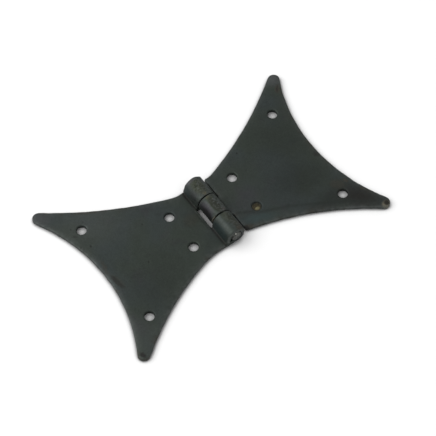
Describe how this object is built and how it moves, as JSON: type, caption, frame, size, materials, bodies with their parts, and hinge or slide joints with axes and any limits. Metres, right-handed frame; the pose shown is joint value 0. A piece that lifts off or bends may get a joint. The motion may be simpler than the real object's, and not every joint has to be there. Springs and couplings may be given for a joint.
{
  "type": "butterfly hinge",
  "caption": "Surface hinge with hollow-sided triangular leaves that spread like wings, rolled knuckles on a plain pin, and screw holes near the tips and the barrel.",
  "frame": {"origin": "on the plane of both leaves' backs, under the pin and midway between the leaves' tips", "axes": "+X across the open hinge towards the leaf with one knuckle, +Y along the pin, +Z out of the hinge's front"},
  "size_m": [0.128, 0.0834, 0.009],
  "materials": {
    "forged_steel": "dark blue-grey waxed forge patina on steel sheet, satin",
    "pin_steel": "worn dark steel, brighter on the hammered ends"
  },
  "bodies": {
    "fixed_leaf": {"left_leaf": "forged_steel", "hinge_pin": "pin_steel"},
    "swinging_leaf": {"right_leaf": "forged_steel"}
  },
  "joints": [
    {"name": "leaf_swing", "type": "hinge", "parent": "fixed_leaf", "child": "swinging_leaf", "pos_m": [0, 0, 0.0045], "axis": [0, -1, 0], "range_deg": [-95, 180]}
  ]
}
